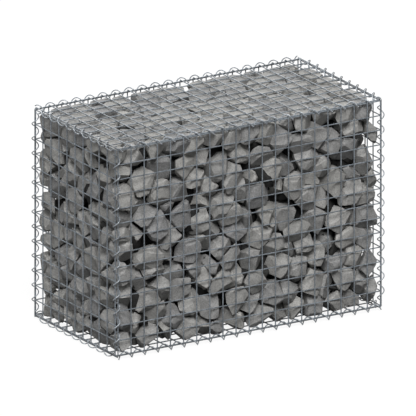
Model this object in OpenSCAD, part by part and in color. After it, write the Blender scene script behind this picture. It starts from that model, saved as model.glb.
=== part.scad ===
// Gabion wall: one welded-mesh basket filled with crushed stone, its twelve edges laced
// with spiral binders. Length runs along X, depth along Y, height along Z; the front faces -Y.

/* [Basket] */
// Length between the edge wires of the front
basket_length = 1000; // [600:10:1200]
// Depth between the edge wires of an end
basket_depth = 500; // [400:10:700]
// Height between the edge wires
basket_height = 700; // [500:10:800]
// Distance between neighbouring mesh wires; the sizes above are cut into whole cells
mesh_pitch = 50; // [40:1:75]

/* [Wire] */
// Thickness of the mesh wires
mesh_wire = 4; // [3:0.1:4.5]
// How far crossing wires are pressed into each other by the weld
weld_depth = 0.6; // [0.2:0.1:1]
// Distance of a panel's edge wire from the corner line that its binder turns about
edge_inset = 3.3; // [3:0.1:5]
// Length of wire left past a panel's edge wire
wire_overhang = 4; // [2.5:0.1:4.5]

/* [Binders] */
// Thickness of the spiral binder wire
binder_wire = 3.8; // [2.5:0.1:4]
// Outside diameter of the spiral
binder_diameter = 25.2; // [22:0.2:30]

/* [Stones] */
// Spacing of the stones along the wall and from front to back
stone_size = 72; // [65:1:110]
// Width of each stone before its neighbours cut it, as a share of its spacing
stone_block = 1.1; // [0.95:0.01:1.3]
// How far the stones are shuffled out of their rows, as a share of their spacing
stone_shuffle = 0.27; // [0.05:0.01:0.3]
// Spread of the stones' sizes
size_spread = 0.14; // [0:0.01:0.2]
// Seed of the random stones
stone_seed = 41; // [1:1:200]

/* [Hidden] */
wire_sides = 7;
binder_sides = 3;
steps_per_turn = 8;
end_trim = steps_per_turn / 4;
seat = 0.15;
courses = 10;
stone_colour = "#8d8c88";
core_colour = "#5f5e5b";
mesh_colour = "#7b838b";
binder_colour = "#959da4";

size = [basket_length, basket_depth, basket_height];
cells = [for (a = [0:2]) max(1, round(size[a] / mesh_pitch))];
pitch = [for (a = [0:2]) size[a] / cells[a]];
layer_step = mesh_wire - weld_depth;
wire_flat = mesh_wire / 2 * cos(180 / wire_sides);
inside = 2 * edge_inset - layer_step;
binder_radius = (binder_diameter - binder_wire) / 2;
corner = size / 2 + edge_inset * [1, 1, 1];
mid_height = corner[2] + binder_diameter / 2;

// Room for the stones inside the inner wires, centred on the middle of the basket
room = size / 2 + (inside - wire_flat - 2 * seat) * [1, 1, 1];
room_bevel = binder_diameter / 2 + 2 * seat;
stones = [max(3, round(2 * room[0] / stone_size)), max(3, round(2 * room[1] / stone_size)), courses];
cell = [for (a = [0:2]) 2 * room[a] / stones[a]];
stone_count = stones[0] * stones[1] * stones[2];
stone_width = stone_block * stone_size;
cut_reach = stone_width * sqrt(3) / 2;
shuffle = rands(-stone_shuffle, stone_shuffle, 3 * stone_count, stone_seed);
turn = rands(0, 360, 3 * stone_count, stone_seed + 1);
weight = rands(-size_spread, size_spread, stone_count, stone_seed + 2);
stagger = 0.2;
lid_lift = 0.1;
half = 1 / 2;

function index(c) = c[0] + stones[0] * (c[1] + stones[1] * c[2]);
function is_stone(c) = min(c) >= 0 && min(stones - c) >= 1 && on_outside(c);
function on_outside(c) = min(c) == 0 || min(stones - c) == 1;
function row_shift(n) = n % 2 == 0 ? stagger : -stagger;
function height_shift(c) = c[2] == courses - 1 ? lid_lift : c[2] == 0 ? 0 : row_shift(c[0] + c[1]);

// Middle of a stone: its cell's middle, staggered from row to row and shuffled
function middle(c) = let (
    shift = [row_shift(c[1] + c[2]), row_shift(c[0] + c[2]), height_shift(c)])
  [for (a = [0:2])
    (c[a] + half + shift[a] + shuffle[3 * index(c) + a]) * cell[a] - room[a]];

// Cuts are [direction, distance from the basket's middle]
function cut_between(c, other) = let (
    p = middle(c), q = middle(other), gap = norm(q - p), way = (q - p) / gap,
    share = half + (weight[index(c)] - weight[index(other)]) * half)
  [way, p * way + share * gap - seat, share * gap];

function neighbour_cuts(c) = [
  for (dx = [-1:1], dy = [-1:1], dz = [-1:1]) let (other = c + [dx, dy, dz])
    if (other != c && is_stone(other)) let (cut = cut_between(c, other))
      if (cut[2] < cut_reach) cut];

// The hidden core takes the place of the stones that no side shows
function core_side(c) = let (
    low = [for (a = [0:2]) if (c[a] == 0) [a, -1]],
    high = [for (a = [0:2]) if (c[a] == stones[a] - 1) [a, 1]])
  concat(low, high)[0];
function core_cut(c) = let (s = core_side(c))
  [[for (a = [0:2]) a == s[0] ? -s[1] : 0], cell[s[0]] - room[s[0]] - seat];

// Bevels along the twelve edges leave room for the turns of the binders
function bevel_cuts(c) = [
  for (a = [0:2], sa = [-1, 1], b = [0:2], sb = [-1, 1])
    if (a < b && at_side(c, a, sa) && at_side(c, b, sb))
      let (way = [for (i = [0:2]) i == a ? sa : i == b ? sb : 0] / sqrt(2))
        [way, (corner[a] + corner[b]) / sqrt(2) - room_bevel]];
function at_side(c, a, s) = s < 0 ? c[a] == 0 : c[a] == stones[a] - 1;

module cut_away_beyond(way, distance, block) {
  rotate([0, acos(way[2]), atan2(way[1], way[0])])
    translate([-block / 2, -block / 2, distance - block])
      cube(block);
}

module stone(c) {
  p = middle(c);
  angles = [for (a = [0:2]) turn[3 * index(c) + a]];
  block = 4 * stone_size;
  intersection() {
    translate(-room) cube(2 * room);
    translate(p) rotate(angles) cube(stone_width, center = true);
    cut_by_planes(concat([core_cut(c)], bevel_cuts(c), neighbour_cuts(c)), p, block);
  }
}

module cut_by_planes(cuts, p, block) {
  translate(p)
    intersection_for (cut = cuts)
      cut_away_beyond(cut[0], cut[1] - p * cut[0], block);
}

module stone_course(number) {
  k = number - 1;
  color(stone_colour)
    translate([0, 0, mid_height])
      for (i = [0:stones[0] - 1], j = [0:stones[1] - 1])
        if (is_stone([i, j, k])) stone([i, j, k]);
}

module stone_core() {
  core = room - cell - seat * [1, 1, 1];
  color(core_colour)
    translate([0, 0, mid_height] - core)
      cube(2 * core);
}

// One mesh wire along X, centred, with an edge towards +Z and a flat towards -Z
module wire(length) {
  rotate([0, -90, 0])
    cylinder(d = mesh_wire, h = length, center = true, $fn = wire_sides);
}

// Welded mesh in the XY plane, outside up: wires along Y lie outside, wires along X inside
module mesh_panel(x, y) {
  across = size[x];
  up = size[y];
  inner_overhang = inside - mesh_wire / 2 - 2 * seat;
  color(mesh_colour) {
    for (i = [0:cells[x]])
      translate([i * pitch[x] - across / 2, 0, 0])
        rotate([180, 0, 90]) wire(up + 2 * wire_overhang);
    for (i = [0:cells[y]])
      translate([0, i * pitch[y] - up / 2, -layer_step])
        wire(across + 2 * inner_overhang);
  }
}

// Places a panel with its outer wires on the side that direction points to; x and y are
// the basket's axes, 0 to 2, that the panel's own X and Y lie along
module panel_at(direction, angles, x, y) {
  reach = [for (a = [0:2]) direction[a] * (size[a] / 2 + 2 * edge_inset)];
  translate([0, 0, mid_height] + reach)
    rotate(angles) mesh_panel(x, y);
}

module front_panel() panel_at([0, -1, 0], [90, 0, 0], 0, 2);
module back_panel() panel_at([0, 1, 0], [90, 0, 180], 0, 2);
module left_end_panel() panel_at([-1, 0, 0], [90, 0, -90], 1, 2);
module right_end_panel() panel_at([1, 0, 0], [90, 0, 90], 1, 2);
module lid_panel() panel_at([0, 0, 1], [0, 0, 0], 0, 1);
module base_panel() panel_at([0, 0, -1], [180, 0, 0], 0, 1);

// Right-handed spiral along +Z with one turn to a cell of that axis. It runs from the first mesh
// wire to the last, less some steps at each end that keep it clear of the binders it meets
module spiral(axis, trim, start_angle) {
  slope = atan(pitch[axis] / (2 * PI * binder_radius));
  first = trim;
  last = cells[axis] * steps_per_turn - trim;
  rings = [for (i = [first:last]) let (a = start_angle + 360 * i / steps_per_turn)
    for (j = [0:binder_sides - 1]) let (b = 360 * j / binder_sides)
      let (out = binder_radius + binder_wire / 2 * cos(b), side = binder_wire / 2 * sin(b))
        [out * cos(a) + side * sin(slope) * sin(a),
         out * sin(a) - side * sin(slope) * cos(a),
         i * pitch[axis] / steps_per_turn + side * cos(slope)]];
  count = last - first;
  n = binder_sides;
  start_cap = [[for (j = [0:n - 1]) j]];
  end_cap = [[for (j = [n - 1:-1:0]) count * n + j]];
  skin = [for (i = [0:count - 1], j = [0:n - 1])
    let (p = i * n + j, q = i * n + (j + 1) % n)
      for (face = [[p, p + n, q], [q, p + n, q + n]]) face];
  color(binder_colour) polyhedron(rings, concat(start_cap, end_cap, skin));
}

// A binder turns once in each mesh cell and is outside the corner where it passes a wire
module binder_along_x(sy, sz) {
  translate([-size[0] / 2, sy * corner[1], mid_height + sz * corner[2]])
    rotate([0, 90, 0]) spiral(0, 0, atan2(sy, -sz));
}

module binder_along_y(sx, sz) {
  translate([sx * corner[0], -size[1] / 2, mid_height + sz * corner[2]])
    rotate([-90, 0, 0]) spiral(1, end_trim, atan2(-sz, sx));
}

module binder_along_z(sx, sy) {
  translate([sx * corner[0], sy * corner[1], mid_height - size[2] / 2])
    spiral(2, end_trim, atan2(sy, sx));
}

module corner_binder_front_left() binder_along_z(-1, -1);
module corner_binder_front_right() binder_along_z(1, -1);
module corner_binder_back_left() binder_along_z(-1, 1);
module corner_binder_back_right() binder_along_z(1, 1);
module lid_binder_front() binder_along_x(-1, 1);
module lid_binder_back() binder_along_x(1, 1);
module lid_binder_left() binder_along_y(-1, 1);
module lid_binder_right() binder_along_y(1, 1);
module base_binder_front() binder_along_x(-1, -1);
module base_binder_back() binder_along_x(1, -1);
module base_binder_left() binder_along_y(-1, -1);
module base_binder_right() binder_along_y(1, -1);
module stone_course_1() stone_course(1);
module stone_course_2() stone_course(2);
module stone_course_3() stone_course(3);
module stone_course_4() stone_course(4);
module stone_course_5() stone_course(5);
module stone_course_6() stone_course(6);
module stone_course_7() stone_course(7);
module stone_course_8() stone_course(8);
module stone_course_9() stone_course(9);
module stone_course_10() stone_course(10);

front_panel();
back_panel();
left_end_panel();
right_end_panel();
lid_panel();
base_panel();
corner_binder_front_left();
corner_binder_front_right();
corner_binder_back_left();
corner_binder_back_right();
lid_binder_front();
lid_binder_back();
lid_binder_left();
lid_binder_right();
base_binder_front();
base_binder_back();
base_binder_left();
base_binder_right();
stone_course_1();
stone_course_2();
stone_course_3();
stone_course_4();
stone_course_5();
stone_course_6();
stone_course_7();
stone_course_8();
stone_course_9();
stone_course_10();
stone_core();
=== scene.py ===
"""Looks of the gabion wall: real stones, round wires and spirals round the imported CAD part."""

import itertools
import math
import random

import bmesh
import bpy
from mathutils import Matrix, Vector, noise


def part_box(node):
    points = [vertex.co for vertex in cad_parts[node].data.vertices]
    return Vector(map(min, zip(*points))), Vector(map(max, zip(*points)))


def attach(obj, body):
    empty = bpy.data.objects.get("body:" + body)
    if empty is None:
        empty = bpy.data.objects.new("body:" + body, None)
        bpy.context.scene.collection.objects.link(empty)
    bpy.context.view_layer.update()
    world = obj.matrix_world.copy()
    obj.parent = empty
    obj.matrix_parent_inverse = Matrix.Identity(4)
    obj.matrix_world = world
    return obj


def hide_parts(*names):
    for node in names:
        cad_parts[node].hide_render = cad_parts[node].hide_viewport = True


MM = 0.001

# Basket, in metres, as in the part's source
CELL = 50 * MM
WIRE_RADIUS = 2 * MM
# Distance of a panel's edge wire from the corner line that its binder turns about
EDGE_INSET = 3.3 * MM
# How far a panel's inner wires lie below its outer ones
LAYER_STEP = 3.4 * MM
# Length of the outer wires and of the inner wires past the panel's edge wires
WIRE_OVERHANG = 4 * MM
INNER_OVERHANG = 0.9 * MM
BINDER_WIRE_RADIUS = 1.9 * MM
# Distance of the binder's wire from the line that it turns about, and its room to the stones
BINDER_TURN_RADIUS = 10.7 * MM
SPIRAL_CLEARANCE = 0.3 * MM
# Part of a turn left out at each end of a binder that would meet another one there
BINDER_END_TRIM = 0.25

# Smoothness of the wires
WIRE_SIDES = 12
BINDER_SIDES = 10
BINDER_STEPS_PER_TURN = 32
# Distance from a wire's cut end within which its shading is rounded
END_SHADING = 0.5 * MM
# Radii of a weld bead: along the inner wire, along the outer wire and outwards
BEAD_RADII = (2.5 * MM, 2.5 * MM, 1.0 * MM)

# Shaping of the stones: corners chipped off each one, their depth, and its turn in degrees
STONE_SEED = 7
CHIPS_PER_STONE = (2, 5)
CHIP_DEPTH = (2 * MM, 13 * MM)
STONE_TURN = (4.0, 14.0)
# Slanting facets round each side that lies against the mesh: how many, their tilt in degrees,
# and how far from the side's middle they start, as a share of the side's radius
SIDE_CROWN = ((3, 4), (22.0, 50.0), (0.45, 0.95))
LID_CROWN = ((1, 3), (6.0, 18.0), (0.85, 1.15))
BASE_CROWN = ((3, 5), (28.0, 58.0), (0.3, 0.75))
# How far such a facet strays from an even spacing round the side, as a share of the spacing
CROWN_STRAY = 0.3
# Ridge that breaks the middle of such a side: the tilt of its two flanks in degrees, the turn
# in radians from one flank to the other, and how far from the side's middle they start
SIDE_RIDGE_TILT = (5.0, 15.0)
LID_RIDGE_TILT = (0.4, 1.8)
RIDGE_TURN = (1.9, 2.9)
RIDGE_START = (0, 9 * MM)
# A stone that comes this near to the room's top lies under the lid
LID_REACH = 1 * MM
# Such a stone keeps its upper edges: it has no facet in a direction that rises more than this
UPPER_EDGE = 0.2
# Most that such a stone is lowered, and the distance over which the lowering changes
LID_DROP = 8 * MM
LID_DROP_SPREAD = 45 * MM
# Edges shorter than this vanish before the rest are bevelled
SHORTEST_EDGE = 3.5 * MM
BEVEL = 0.8 * MM
# Edges longer than this are halved, this often at most
LONG_EDGE = 14 * MM
HALVINGS = 3
# Waves of the rough surface, each as its size and height, and the reach of their random offset
WAVES = ((34 * MM, 0.8 * MM), (12 * MM, 0.35 * MM))
WAVE_OFFSET = 50

# Small stones wedged behind the gaps: their spacing, the share of it in which each one lies,
# and how far each one stands out of the core
WEDGE_SPACING = 62 * MM
WEDGE_PLACE = (0.2, 0.8)
WEDGE_STANDOUT = (-8 * MM, 16 * MM)
# Such a stone: its size, the cube that it is cut from, how many cuts it has, and how far they
# are from its middle; the cube and the distance are shares of the size
WEDGE_SIZE = (44 * MM, 74 * MM)
WEDGE_CUBE = 1.6
WEDGE_CUTS = 13
WEDGE_CUT_DISTANCE = (0.36, 0.5)

# Tolerances: facets this level are one, points this near are one, a cut is this exact, and a
# side lies against the mesh when the cosine between their directions is above this
FLAT_ANGLE = math.radians(0.6)
WELD_DISTANCE = 0.02 * MM
CUT_TOLERANCE = 0.01 * MM
FACING = 0.999
# Decimals of a stone's place that count where the stones are sorted
PLACE_DECIMALS = 4

# Colour of a stone by its own tone from 0 to 1: the tone, the share of the material's level,
# and the warmth
STONE_TONES = ((0.0, 0.82, 0.0), (0.5, 1.0, 0.03), (1.0, 1.1, 0.045))
# Patches on the stones: a noise as its scale, detail and roughness, its values at the darkest
# and at the lightest, and the darkest share of the colour
STONE_PATCHES = (
    ((45, 6.0, 0.55), (0.3, 0.7), 0.8),
    ((190, 3.0, 0.6), (0.36, 0.6), 0.74),
    ((420, 4.0, 0.7), (0.32, 0.62), 0.66),
)
# Bumps on the stones: a noise and its height
STONE_BUMPS = (((90, 8.0, 0.6), 1.8 * MM), ((500, 6.0, 0.7), 0.5 * MM))
STONE_ROUGHNESS = 0.88
STONE_GLOSS = 0.12

# Zinc coat: spangle, dull patches and grain, given as on the stones, and wear as a noise with
# the least and the most that it adds to the roughness
ZINC_SPANGLE = ((160, 3.0, 0.55), (0.35, 0.65))
ZINC_PATCHES = ((13, 2.0, 0.55), (0.38, 0.6), 0.7)
ZINC_GRAIN = ((900, 3.0, 0.55), 0.12 * MM)
ZINC_WEAR = ((300, 4.0, 0.55), (-0.08, 0.12))

# Camera of the photograph, its angles in degrees
AZIMUTH = -31.46
ELEVATION = 18.1
ORTHO_WIDTH = 1.352
AIM_HEIGHT = 0.3643
CAMERA_DISTANCE = 4.0

# Suns: name, direction towards it, strength, and width in degrees
SUNS = (
    ("key", (-0.3, -0.56, 0.82), 3.15, 30),
    ("left_fill", (-0.85, -0.25, 0.42), 0.35, 20),
    ("back_fill", (0.5, 0.85, 0.27), 2.1, 60),
)
# Light of the sky: its strength, and the heights on a globe of radius 1 between which it rises
# from the first share of that strength to the second
SKY_STRENGTH = 0.42
SKY_HEIGHTS = (-0.35, 1.0)
SKY_SHARES = (0.05, 1.0)
# Floor: its side, how much of its look shows shadow, and how much light it gives back
FLOOR_SIZE = 14.0
FLOOR_SHADOW_SHARE = 0.1
FLOOR_BOUNCE = 0.05


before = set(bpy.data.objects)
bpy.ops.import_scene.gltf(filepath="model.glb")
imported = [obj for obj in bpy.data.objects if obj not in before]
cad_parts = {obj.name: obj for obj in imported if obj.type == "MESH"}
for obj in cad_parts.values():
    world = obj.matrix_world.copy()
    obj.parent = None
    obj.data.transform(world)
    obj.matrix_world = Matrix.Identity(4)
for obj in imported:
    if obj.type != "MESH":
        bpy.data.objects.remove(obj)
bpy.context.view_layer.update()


def box_round(nodes):
    """The lowest and highest corner of these nodes together."""
    boxes = [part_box(n) for n in nodes]
    low = Vector([min(b[0][a] for b in boxes) for a in range(3)])
    high = Vector([max(b[1][a] for b in boxes) for a in range(3)])
    return low, high


AXES = (Vector((1, 0, 0)), Vector((0, 1, 0)), Vector((0, 0, 1)))
COURSES = sorted(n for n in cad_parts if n.startswith("stone_course_"))

# The room that the stones fill, inside the inner wires
ROOM_LOW, ROOM_HIGH = box_round(COURSES)
PART_LOW, PART_HIGH = box_round(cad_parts)
MID = (PART_LOW + PART_HIGH) / 2

# The basket is whole cells between its edge wires, and the room for stones is hardly larger
CELLS = [round(extent / CELL) for extent in ROOM_HIGH - ROOM_LOW]
SIZE = Vector([n * CELL for n in CELLS])
# How far the lines that the binders turn about are from the middle
CORNER = SIZE / 2 + Vector((EDGE_INSET,) * 3)


# Materials


def grey(level, warmth=0.0):
    """A grey with its blue lowered by this share and its red raised by a third of it."""
    return (level * (1 + warmth / 3), level, level * (1 - warmth), 1)


def new_material(name):
    """An empty material, with its nodes and the socket that takes its shader."""
    material = bpy.data.materials.new(name)
    material.use_nodes = True
    tree = material.node_tree
    tree.nodes.clear()
    output = tree.nodes.new("ShaderNodeOutputMaterial")
    return material, tree, output.inputs["Surface"]


def principled_material(name, gloss):
    material, tree, surface = new_material(name)
    shader = tree.nodes.new("ShaderNodeBsdfPrincipled")
    shader.inputs["Specular IOR Level"].default_value = gloss
    tree.links.new(shader.outputs["BSDF"], surface)
    return material, tree, shader


def noise_texture(tree, scale, detail, roughness):
    place = tree.nodes.new("ShaderNodeTexCoord")
    texture = tree.nodes.new("ShaderNodeTexNoise")
    texture.inputs["Scale"].default_value = scale
    texture.inputs["Detail"].default_value = detail
    texture.inputs["Roughness"].default_value = roughness
    tree.links.new(place.outputs["Object"], texture.inputs["Vector"])
    return texture.outputs["Fac"]


def colour_ramp(tree, value, stops):
    ramp = tree.nodes.new("ShaderNodeValToRGB")
    elements = ramp.color_ramp.elements
    elements[0].position, elements[0].color = stops[0]
    elements[1].position, elements[1].color = stops[-1]
    for position, colour in stops[1:-1]:
        elements.new(position).color = colour
    tree.links.new(value, ramp.inputs["Fac"])
    return ramp.outputs["Color"]


def patches(tree, texture, span, dark, light):
    """A colour that goes from dark to light where the noise rises through the span."""
    return colour_ramp(tree, noise_texture(tree, *texture), list(zip(span, (dark, light))))


def map_range(tree, value, source, target):
    node = tree.nodes.new("ShaderNodeMapRange")
    for socket, number in zip(("From Min", "From Max", "To Min", "To Max"), (*source, *target)):
        node.inputs[socket].default_value = number
    tree.links.new(value, node.inputs["Value"])
    return node.outputs["Result"]


def multiply(tree, first, second):
    mix = tree.nodes.new("ShaderNodeMix")
    mix.data_type = "RGBA"
    mix.blend_type = "MULTIPLY"
    mix.inputs["Factor"].default_value = 1.0
    tree.links.new(first, mix.inputs["A"])
    tree.links.new(second, mix.inputs["B"])
    return mix.outputs["Result"]


def bump(tree, texture, height, normal=None):
    """Bumps of this height where the noise is high, on top of those of another normal."""
    node = tree.nodes.new("ShaderNodeBump")
    node.inputs["Distance"].default_value = height
    tree.links.new(noise_texture(tree, *texture), node.inputs["Height"])
    if normal is not None:
        tree.links.new(normal, node.inputs["Normal"])
    return node.outputs["Normal"]


def stone_material(name, level):
    """Broken rock of this grey, in which each stone has its own tone."""
    material, tree, shader = principled_material(name, STONE_GLOSS)
    tone = tree.nodes.new("ShaderNodeAttribute")
    tone.attribute_name = "tone"
    colour = colour_ramp(tree, tone.outputs["Fac"], [
        (position, grey(level * share, warmth)) for position, share, warmth in STONE_TONES])
    for texture, span, darkest in STONE_PATCHES:
        dapple = patches(tree, texture, span, grey(darkest), grey(1.0))
        colour = multiply(tree, colour, dapple)
    tree.links.new(colour, shader.inputs["Base Color"])
    shader.inputs["Roughness"].default_value = STONE_ROUGHNESS
    normal = None
    for texture, height in STONE_BUMPS:
        normal = bump(tree, texture, height, normal)
    tree.links.new(normal, shader.inputs["Normal"])
    return material


def zinc_material(name, dark, light, roughness, metallic, gloss):
    """Galvanised wire with a spangle between two colours, dull in patches and unevenly worn."""
    material, tree, shader = principled_material(name, gloss)
    spangle = patches(tree, *ZINC_SPANGLE, dark, light)
    texture, span, dullest = ZINC_PATCHES
    dulling = patches(tree, texture, span, grey(dullest), grey(1.0))
    tree.links.new(multiply(tree, spangle, dulling), shader.inputs["Base Color"])
    shader.inputs["Metallic"].default_value = metallic
    texture, changes = ZINC_WEAR
    wear = map_range(
        tree, noise_texture(tree, *texture), (0, 1), [roughness + change for change in changes])
    tree.links.new(wear, shader.inputs["Roughness"])
    tree.links.new(bump(tree, *ZINC_GRAIN), shader.inputs["Normal"])
    return material


STONE = stone_material("crushed_stone_grey", level=0.455)
# The core stones are painted near black: painted shade that stands for the deep voids behind the
# gaps
INNER_STONE_PAINTED_SHADE = stone_material("inner_stone_painted_shade", level=0.05)
MESH_WIRE = zinc_material(
    "zinc_mesh_wire", dark=(0.13, 0.152, 0.175, 1), light=(0.26, 0.288, 0.316, 1),
    roughness=0.24, metallic=0.03, gloss=0.45)
BINDER_WIRE = zinc_material(
    "zinc_binder_wire", dark=(0.17, 0.193, 0.218, 1), light=(0.42, 0.453, 0.488, 1),
    roughness=0.16, metallic=0.05, gloss=0.7)


# Pieces


def add_object(name, data):
    added = bpy.data.objects.new(name, data)
    bpy.context.scene.collection.objects.link(added)
    return added


def add_piece(name, mesh, material, nodes):
    mesh.materials.append(material)
    piece = add_object(name, mesh)
    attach(piece, "root")
    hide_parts(*nodes)


# Stones


def islands(bm):
    """Groups of vertices joined by edges, each as its points."""
    seen, groups = set(), []
    for start in bm.verts:
        if start.index in seen:
            continue
        seen.add(start.index)
        group, stack = [], [start]
        while stack:
            vert = stack.pop()
            group.append(vert.co.copy())
            for edge in vert.link_edges:
                other = edge.other_vert(vert)
                if other.index not in seen:
                    seen.add(other.index)
                    stack.append(other)
        groups.append(group)
    return groups


def middle_of(points):
    return sum(points, Vector()) / len(points)


def place_of(points):
    """The middle of a stone, rounded, to sort by."""
    return [round(c, PLACE_DECIMALS) for c in middle_of(points)]


def stones_in(node):
    """The corners of each stone of a node, in the order of their places."""
    bm = bmesh.new()
    bm.from_mesh(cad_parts[node].data)
    bmesh.ops.remove_doubles(bm, verts=bm.verts, dist=WELD_DISTANCE)
    bm.verts.index_update()
    found = islands(bm)
    bm.free()
    return sorted(found, key=place_of)


def merge_flat(bm):
    bmesh.ops.dissolve_limit(bm, angle_limit=FLAT_ANGLE, verts=bm.verts, edges=bm.edges)


def block_from(points):
    """The flat-sided block whose corners are these points."""
    bm = bmesh.new()
    for p in points:
        bm.verts.new(p)
    hull = bmesh.ops.convex_hull(bm, input=bm.verts)
    loose = [v for v in hull["geom_interior"] if isinstance(v, bmesh.types.BMVert)]
    bmesh.ops.delete(bm, geom=loose, context="VERTS")
    merge_flat(bm)
    return bm


def slice_off(bm, point, outward):
    """Cuts away what lies beyond the plane and closes the cut."""
    bmesh.ops.bisect_plane(
        bm, geom=bm.verts[:] + bm.edges[:] + bm.faces[:],
        plane_co=point, plane_no=outward, clear_outer=True, dist=CUT_TOLERANCE)
    rim = [e for e in bm.edges if e.is_boundary]
    if rim:
        bmesh.ops.holes_fill(bm, edges=rim, sides=0)


def reach(bm, way):
    """How far the stone goes in a direction."""
    return max(v.co.dot(way) for v in bm.verts)


def cut_back(bm, way, limit):
    """Cuts away what goes further than the limit in a direction."""
    if reach(bm, way) > limit:
        slice_off(bm, way * limit, way)


def random_direction(rng):
    height = rng.uniform(-1, 1)
    turn = rng.uniform(0, 2 * math.pi)
    flat = math.sqrt(1 - height * height)
    return Vector((flat * math.cos(turn), flat * math.sin(turn), height))


def chip(bm, rng, on_top):
    """Cuts off corners all round, or from below only where the stone lies under the lid."""
    for _ in range(rng.randint(*CHIPS_PER_STONE)):
        way = random_direction(rng)
        if on_top:
            way.z = -abs(way.z)
        slice_off(bm, way * (reach(bm, way) - rng.uniform(*CHIP_DEPTH)), way)


def turn_a_little(bm, rng, on_top):
    """Takes the stone out of line with its neighbours, so that no joint is an even slot.

    A stone under the lid turns about the upright, which keeps its top level.
    """
    centre = middle_of([v.co for v in bm.verts])
    angle = math.radians(rng.uniform(*STONE_TURN))
    pivot = random_direction(rng)
    turn = Matrix.Rotation(angle, 3, AXES[2] if on_top else pivot)
    bmesh.ops.rotate(bm, cent=centre, matrix=turn, verts=bm.verts)


def keep_in_cage(bm):
    """Cuts the stone back to the mesh and to the bevels that the spirals turn in."""
    for axis, way in enumerate(AXES):
        cut_back(bm, way, ROOM_HIGH[axis])
        cut_back(bm, -way, -ROOM_LOW[axis])
    clear = BINDER_TURN_RADIUS + BINDER_WIRE_RADIUS + SPIRAL_CLEARANCE
    for a, b in itertools.combinations(range(3), 2):
        for sign_a, sign_b in itertools.product((-1, 1), repeat=2):
            way = (AXES[a] * sign_a + AXES[b] * sign_b).normalized()
            edge = MID + AXES[a] * sign_a * CORNER[a] + AXES[b] * sign_b * CORNER[b]
            cut_back(bm, way, edge.dot(way) - clear)


def lower_top(bm):
    """Cuts a stone under the lid level, each at a slightly other height."""
    middle = middle_of([v.co for v in bm.verts])
    drop = LID_DROP * max(0, 0.5 + noise.noise(middle / LID_DROP_SPREAD))
    slice_off(bm, AXES[2] * (ROOM_HIGH.z - drop), AXES[2])


def mesh_sides(bm):
    """The flat sides of a stone that lie against the mesh, each as direction, middle and radius."""
    sides = []
    for axis in AXES:
        for outward in (-axis, axis):
            flats = [f for f in bm.faces if f.normal.dot(outward) > FACING]
            if flats:
                widest = max(flats, key=lambda f: f.calc_area())
                radius = math.sqrt(widest.calc_area() / math.pi)
                sides.append((outward, widest.calc_center_median(), radius))
    return sides


def facets_for(outward):
    """The crown and the tilt of the ridge on a side that faces this way."""
    if outward.z > 0:
        return LID_CROWN, LID_RIDGE_TILT
    if outward.z < 0:
        return BASE_CROWN, SIDE_RIDGE_TILT
    return SIDE_CROWN, SIDE_RIDGE_TILT


def tilted(outward, turn, tilt):
    """The direction beside outward at this turn, and outward tilted that way."""
    side = outward.orthogonal().normalized()
    side.rotate(Matrix.Rotation(turn, 3, outward))
    return side, outward * math.cos(tilt) + side * math.sin(tilt)


def break_mesh_sides(bm, rng, on_top):
    """Breaks the sides that lie against the mesh into slanting facets, as no stone is sawn there.

    A stone under the lid keeps its upper edges whole.
    """
    for outward, middle, radius in mesh_sides(bm):
        (counts, tilts, starts), ridge_tilts = facets_for(outward)
        count = rng.randint(*counts)
        first = rng.uniform(0, 2 * math.pi)
        for step in range(count):
            stray = rng.uniform(-CROWN_STRAY, CROWN_STRAY)
            turn = first + (step + stray) * 2 * math.pi / count
            side, way = tilted(outward, turn, math.radians(rng.uniform(*tilts)))
            start = radius * rng.uniform(*starts)
            if not (on_top and side.z > UPPER_EDGE):
                slice_off(bm, middle + side * start, way)
        for flank in range(2):
            turn = first + flank * rng.uniform(*RIDGE_TURN)
            side, way = tilted(outward, turn, math.radians(rng.uniform(*ridge_tilts)))
            slice_off(bm, middle + side * rng.uniform(*RIDGE_START), way)


def soften(bm):
    """Bevels every edge that is long enough to have a bevel."""
    merge_flat(bm)
    bmesh.ops.dissolve_degenerate(bm, dist=SHORTEST_EDGE, edges=bm.edges[:])
    bmesh.ops.bevel(
        bm, geom=bm.edges[:], offset=BEVEL, offset_type="OFFSET", segments=1,
        profile=0.5, affect="EDGES", clamp_overlap=True)
    bmesh.ops.remove_doubles(bm, verts=bm.verts, dist=WELD_DISTANCE)


def subdivide(bm):
    """Halves the long edges and cuts every face into triangles."""
    for _ in range(HALVINGS):
        bmesh.ops.triangulate(bm, faces=bm.faces[:])
        long = [e for e in bm.edges if e.calc_length() > LONG_EDGE]
        if not long:
            break
        bmesh.ops.subdivide_edges(
            bm, edges=long, cuts=1, use_grid_fill=True, use_single_edge=True)
    bmesh.ops.triangulate(bm, faces=bm.faces[:])


def roughen(bm, offset):
    """Waves the surface inwards only, so that a stone never leaves its own room."""
    bm.normal_update()
    for v in bm.verts:
        depth = sum(
            height * (0.5 + 0.5 * noise.noise(v.co / size + offset)) for size, height in WAVES)
        v.co -= v.normal * depth


def shaped_stone(points, rng):
    """A broken stone made from the corners of a solid of the part."""
    on_top = max(p.z for p in points) > ROOM_HIGH.z - LID_REACH
    bm = block_from(points)
    chip(bm, rng, on_top)
    turn_a_little(bm, rng, on_top)
    keep_in_cage(bm)
    if on_top:
        lower_top(bm)
    break_mesh_sides(bm, rng, on_top)
    soften(bm)
    subdivide(bm)
    roughen(bm, Vector([rng.uniform(-WAVE_OFFSET, WAVE_OFFSET) for _ in range(3)]))
    return bm


def shade_smooth(mesh):
    mesh.polygons.foreach_set("use_smooth", [True] * len(mesh.polygons))


def shade_by_area(mesh):
    """Smooth shading in which the wide facets outweigh the bevels, so that facets look flat."""
    shade_smooth(mesh)
    normals = [Vector() for _ in mesh.vertices]
    for face in mesh.polygons:
        weighted = face.normal * face.area
        for v in face.vertices:
            normals[v] += weighted
    mesh.normals_split_custom_set_from_vertices([n.normalized() for n in normals])


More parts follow.
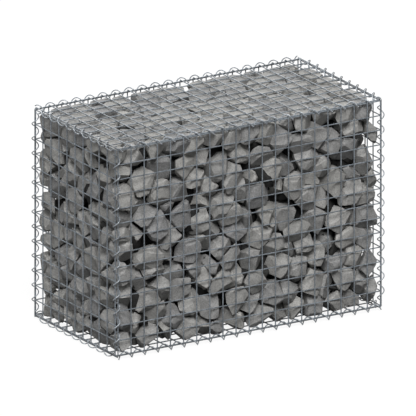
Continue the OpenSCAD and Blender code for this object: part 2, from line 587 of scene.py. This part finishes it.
def stones_mesh(name, stones, rng):
    """Joins shaped stones into one mesh, in which each has its own tone."""
    verts, faces, tones = [], [], []
    for bm in stones:
        bm.verts.index_update()
        first = len(verts)
        verts.extend(v.co.copy() for v in bm.verts)
        faces.extend([first + v.index for v in f.verts] for f in bm.faces)
        tones.extend([rng.random()] * len(bm.verts))
        bm.free()
    mesh = bpy.data.meshes.new(name)
    mesh.from_pydata(verts, [], faces)
    mesh.attributes.new("tone", "FLOAT", "POINT").data.foreach_set("value", tones)
    shade_by_area(mesh)
    return mesh


def add_stones():
    rng = random.Random(STONE_SEED)
    for node in COURSES:
        shaped = [shaped_stone(points, rng) for points in stones_in(node)]
        mesh = stones_mesh(node + "_look", shaped, rng)
        add_piece(node + "_stones", mesh, STONE, [node])


def wedge_places(low, high, rng):
    """Places spread over the six sides of a box, each a little out of the side or sunk in it."""
    for axis in range(3):
        across = [n for n in range(3) if n != axis]
        counts = [round((high[n] - low[n]) / WEDGE_SPACING) for n in across]
        for outward, level in ((-1, low[axis]), (1, high[axis])):
            for steps in itertools.product(*map(range, counts)):
                place = Vector()
                for n, step, count in zip(across, steps, counts):
                    along = step + rng.uniform(*WEDGE_PLACE)
                    place[n] = low[n] + along * (high[n] - low[n]) / count
                place[axis] = level + outward * rng.uniform(*WEDGE_STANDOUT)
                yield place


def wedge(place, rng):
    """A small angular stone, a cube cut all round by flat facets."""
    bm = bmesh.new()
    size = rng.uniform(*WEDGE_SIZE)
    bmesh.ops.create_cube(bm, size=size * WEDGE_CUBE)
    for _ in range(WEDGE_CUTS):
        way = random_direction(rng)
        slice_off(bm, way * size * rng.uniform(*WEDGE_CUT_DISTANCE), way)
    bmesh.ops.translate(bm, verts=bm.verts, vec=place)
    keep_in_cage(bm)
    merge_flat(bm)
    return bm


def core_mass(low, high):
    """The block that closes the view between the wedged stones, painted dark as shade."""
    bm = bmesh.new()
    bmesh.ops.create_cube(bm, size=1)
    for v in bm.verts:
        v.co = [(low[n] + high[n]) / 2 + v.co[n] * (high[n] - low[n]) for n in range(3)]
    return bm


def add_core():
    """The stones that no side shows: wedged small stones round a mass behind the gaps, all painted
    near black as shade.
    """
    low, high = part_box("stone_core")
    rng = random.Random(STONE_SEED + 1)
    shaped = [wedge(place, rng) for place in wedge_places(low, high, rng)]
    mesh = stones_mesh("stone_core_look", shaped + [core_mass(low, high)], rng)
    add_piece("stone_core_mass", mesh, INNER_STONE_PAINTED_SHADE, ["stone_core"])


# Wires


class WireMesh:
    """Gathers round wires and weld beads into one mesh."""

    def __init__(self):
        self.verts, self.faces = [], []

    def sweep(self, path, radius, sides):
        """Adds a wire along a path of points, each with its outward direction."""
        count = len(path)
        first = len(self.verts)
        for i, (point, out) in enumerate(path):
            ahead = path[min(i + 1, count - 1)][0] - path[max(i - 1, 0)][0]
            side = ahead.normalized().cross(out).normalized()
            up = side.cross(ahead).normalized()
            for j in range(sides):
                turn = 2 * math.pi * j / sides
                self.verts.append(point + (up * math.cos(turn) + side * math.sin(turn)) * radius)
        for i in range(count - 1):
            for j in range(sides):
                p = first + i * sides + j
                q = first + i * sides + (j + 1) % sides
                self.faces.append((p, q, q + sides, p + sides))
        last = first + (count - 1) * sides
        self.faces.append(list(range(first, first + sides))[::-1])
        self.faces.append(list(range(last, last + sides)))

    def straight(self, middle, along, outward, length):
        """Adds a cut wire, with rings near its ends that keep the rounded shading there."""
        half = length / 2
        rings = (-half, -half + END_SHADING, 0, half - END_SHADING, half)
        self.sweep([(middle + along * s, outward) for s in rings], WIRE_RADIUS, WIRE_SIDES)

    def bead(self, middle, along, outward):
        """Adds a weld bead, a low-sided ball squashed to its three radii."""
        side = outward.cross(along)
        bm = bmesh.new()
        bmesh.ops.create_icosphere(bm, subdivisions=1, radius=1)
        bm.verts.index_update()
        first = len(self.verts)
        for v in bm.verts:
            local = along * v.co.x * BEAD_RADII[0] + side * v.co.y * BEAD_RADII[1]
            self.verts.append(middle + local + outward * v.co.z * BEAD_RADII[2])
        self.faces.extend([first + v.index for v in f.verts] for f in bm.faces)
        bm.free()

    def mesh(self, name):
        made = bpy.data.meshes.new(name)
        made.from_pydata(self.verts, [], self.faces)
        shade_smooth(made)
        made.validate()
        return made


def wire_places(axis):
    """Where the wires cross an axis, from the basket's middle."""
    return [i * CELL - SIZE[axis] / 2 for i in range(CELLS[axis] + 1)]


def panel_piece(node, outward, inner_axis, outer_axis):
    """Welded mesh: wires along the outer axis lie outside, those along the inner axis inside."""
    wires = WireMesh()
    normal_axis = 3 - inner_axis - outer_axis
    outer_level = SIZE[normal_axis] / 2 + 2 * EDGE_INSET
    inner_level = outer_level - LAYER_STEP
    for level, along, across, overhang in (
            (outer_level, outer_axis, inner_axis, WIRE_OVERHANG),
            (inner_level, inner_axis, outer_axis, INNER_OVERHANG)):
        for s in wire_places(across):
            middle = MID + outward * level + AXES[across] * s
            wires.straight(middle, AXES[along], outward, SIZE[along] + 2 * overhang)
    weld_level = (outer_level + inner_level) / 2
    for s in wire_places(inner_axis):
        for t in wire_places(outer_axis):
            middle = MID + outward * weld_level + AXES[inner_axis] * s + AXES[outer_axis] * t
            wires.bead(middle, AXES[inner_axis], outward)
    add_piece(node + "_wires", wires.mesh(node + "_look"), MESH_WIRE, [node])


def add_panels():
    x, y, z = AXES
    panel_piece("front_panel", -y, 0, 2)
    panel_piece("back_panel", y, 0, 2)
    panel_piece("left_end_panel", -x, 1, 2)
    panel_piece("right_end_panel", x, 1, 2)
    panel_piece("lid_panel", z, 0, 1)
    panel_piece("base_panel", -z, 0, 1)


def binder_piece(node, signs, trim):
    """A right-handed spiral, one turn to a cell, outside the corner where it passes a wire.

    The signs say which edge of the basket it laces, with 0 for the axis that it runs along.
    """
    axis = signs.index(0)
    corner = Vector([sign * extent for sign, extent in zip(signs, CORNER)])
    out = Vector(signs).normalized()
    start, end = trim, CELLS[axis] - trim
    steps = round((end - start) * BINDER_STEPS_PER_TURN)
    path = []
    for i in range(steps + 1):
        turns = start + (end - start) * i / steps
        way = out.copy()
        way.rotate(Matrix.Rotation(2 * math.pi * turns, 3, AXES[axis]))
        middle = MID + corner + AXES[axis] * (turns * CELL - SIZE[axis] / 2)
        path.append((middle + way * BINDER_TURN_RADIUS, way))
    wire = WireMesh()
    wire.sweep(path, BINDER_WIRE_RADIUS, BINDER_SIDES)
    add_piece(node + "_spiral", wire.mesh(node + "_look"), BINDER_WIRE, [node])


def add_binders():
    for side, y in (("front", -1), ("back", 1)):
        binder_piece("lid_binder_" + side, (0, y, 1), trim=0)
        binder_piece("base_binder_" + side, (0, y, -1), trim=0)
        for end, x in (("left", -1), ("right", 1)):
            binder_piece(f"corner_binder_{side}_{end}", (x, y, 0), trim=BINDER_END_TRIM)
    for end, x in (("left", -1), ("right", 1)):
        binder_piece("lid_binder_" + end, (x, 0, 1), trim=BINDER_END_TRIM)
        binder_piece("base_binder_" + end, (x, 0, -1), trim=BINDER_END_TRIM)


# Light and camera


def add_facing(name, data, back):
    """Adds a light or camera that looks away from this direction."""
    added = add_object(name, data)
    added.rotation_mode = "QUATERNION"
    added.rotation_quaternion = back.to_track_quat("Z", "Y")
    return added


def add_suns():
    for name, direction, strength, width in SUNS:
        light = bpy.data.lights.new(name, "SUN")
        light.energy = strength
        light.angle = math.radians(width)
        add_facing(name, light, Vector(direction))


def grey_shader(tree, kind, level):
    node = tree.nodes.new(kind)
    node.inputs["Color"].default_value = grey(level)
    return node.outputs[0]


def mix_shaders(tree, share, first, second):
    """The first shader with a share of the second, which is a number or comes from a node."""
    mix = tree.nodes.new("ShaderNodeMixShader")
    if isinstance(share, float):
        mix.inputs["Fac"].default_value = share
    else:
        tree.links.new(share, mix.inputs["Fac"])
    tree.links.new(first, mix.inputs[1])
    tree.links.new(second, mix.inputs[2])
    return mix.outputs["Shader"]


def by_ray(tree, seen, lighting):
    """One shader for what the camera, gloss and glass see, and another for the light it gives."""
    path = tree.nodes.new("ShaderNodeLightPath")
    looking = path.outputs["Is Camera Ray"]
    for kind in ("Is Glossy Ray", "Is Transmission Ray"):
        either = tree.nodes.new("ShaderNodeMath")
        either.operation = "MAXIMUM"
        tree.links.new(looking, either.inputs[0])
        tree.links.new(path.outputs[kind], either.inputs[1])
        looking = either.outputs["Value"]
    return mix_shaders(tree, looking, lighting, seen)


def add_world():
    """White to the camera, and for light a soft sky that is brighter above."""
    world = bpy.data.worlds.new("studio")
    bpy.context.scene.world = world
    world.use_nodes = True
    tree = world.node_tree
    tree.nodes.clear()
    output = tree.nodes.new("ShaderNodeOutputWorld")
    place = tree.nodes.new("ShaderNodeTexCoord")
    parts = tree.nodes.new("ShaderNodeSeparateXYZ")
    tree.links.new(place.outputs["Generated"], parts.inputs["Vector"])
    sky = tree.nodes.new("ShaderNodeBackground")
    sky.inputs["Strength"].default_value = SKY_STRENGTH
    shares = map_range(tree, parts.outputs["Z"], SKY_HEIGHTS, SKY_SHARES)
    tree.links.new(shares, sky.inputs["Color"])
    white = grey_shader(tree, "ShaderNodeBackground", 1.0)
    tree.links.new(by_ray(tree, white, sky.outputs["Background"]), output.inputs["Surface"])


def floor_material():
    """White with a faint shadow to the camera, dull in the light it gives, clear from below."""
    material, tree, surface = new_material("studio_floor")
    white = grey_shader(tree, "ShaderNodeEmission", 1.0)
    shaded = grey_shader(tree, "ShaderNodeBsdfDiffuse", 1.0)
    seen = mix_shaders(tree, FLOOR_SHADOW_SHARE, white, shaded)
    above = by_ray(tree, seen, grey_shader(tree, "ShaderNodeBsdfDiffuse", FLOOR_BOUNCE))
    below = tree.nodes.new("ShaderNodeBsdfTransparent")
    side = tree.nodes.new("ShaderNodeNewGeometry")
    shader = mix_shaders(tree, side.outputs["Backfacing"], above, below.outputs["BSDF"])
    tree.links.new(shader, surface)
    return material


def add_floor():
    half = FLOOR_SIZE / 2
    corners = ((-half, -half), (half, -half), (half, half), (-half, half))
    mesh = bpy.data.meshes.new("studio_floor")
    mesh.from_pydata([(x, y, PART_LOW.z) for x, y in corners], [], [(0, 1, 2, 3)])
    mesh.materials.append(floor_material())
    floor = add_object("studio_floor", mesh)


def add_camera():
    lens = bpy.data.cameras.new("camera")
    lens.type = "ORTHO"
    lens.ortho_scale = ORTHO_WIDTH
    turn, rise = math.radians(AZIMUTH), math.radians(ELEVATION)
    back = Vector((
        math.sin(turn) * math.cos(rise), -math.cos(turn) * math.cos(rise), math.sin(rise)))
    camera = add_facing("camera", lens, back)
    camera.location = Vector((0, 0, AIM_HEIGHT)) + back * CAMERA_DISTANCE
    bpy.context.scene.camera = camera


add_stones()
add_core()
add_panels()
add_binders()
add_suns()
add_world()
add_floor()
add_camera()
bpy.context.scene.view_settings.view_transform = "Standard"
